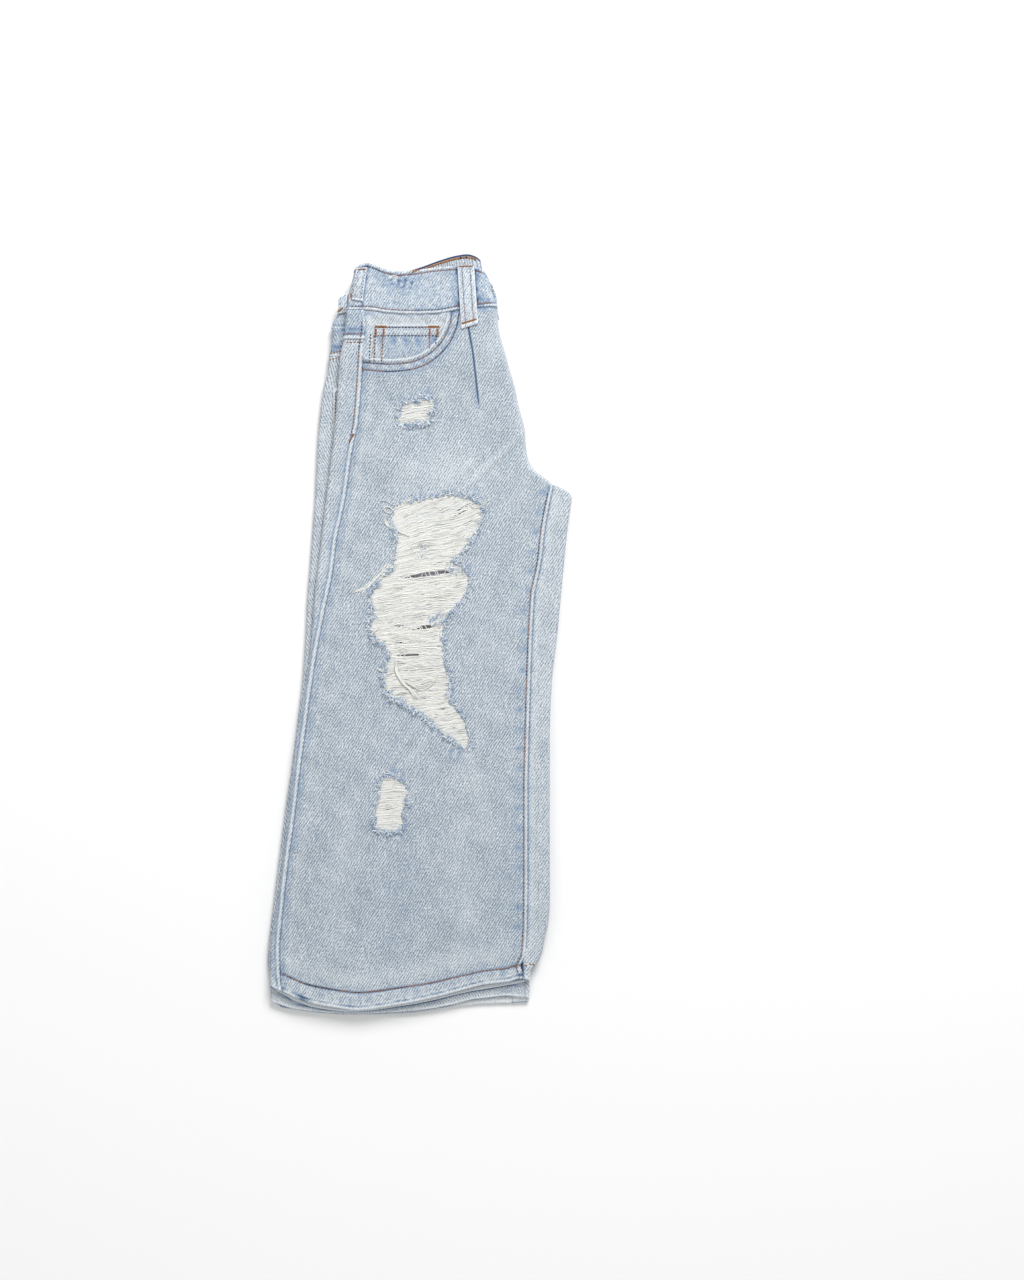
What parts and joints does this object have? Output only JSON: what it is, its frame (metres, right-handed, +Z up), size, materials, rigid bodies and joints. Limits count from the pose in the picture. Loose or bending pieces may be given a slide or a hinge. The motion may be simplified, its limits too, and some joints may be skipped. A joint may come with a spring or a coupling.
{
  "type": "ripped jeans",
  "caption": "Child's wide-legged light blue denim jeans with worn-through rips over pale weft threads, folded in half and laid flat.",
  "frame": {"origin": "middle of the folded outline, on the surface that the jeans lie on", "axes": "+Y from the hems towards the waistband, +X from the side fold towards the centre front fold, +Z up out of the right front"},
  "size_m": [0.2668, 0.665, 0.0221],
  "materials": {
    "denim": "washed twill",
    "denim_inside": "twill, wrong side",
    "weft_yarn": "loose cotton threads",
    "button_metal": "aged"
  },
  "bodies": {
    "root": {"hidden_layers": "denim_inside", "right_front_panel": "denim", "right_back_panel": "denim", "right_yoke": "denim", "right_waistband": "denim", "right_front_loop": "denim", "right_side_loop": "denim", "right_pocket_facing": "denim", "right_coin_pocket": "denim", "left_front_panel": "denim", "left_back_panel": "denim", "left_yoke": "denim", "left_waistband": "denim", "left_front_loop": "denim", "left_side_loop": "denim", "left_pocket_facing": "denim", "left_back_pocket": "denim", "fly_button": "button_metal", "thigh_threads": "weft_yarn", "knee_threads": "weft_yarn", "shin_threads": "weft_yarn"}
  },
  "joints": []
}
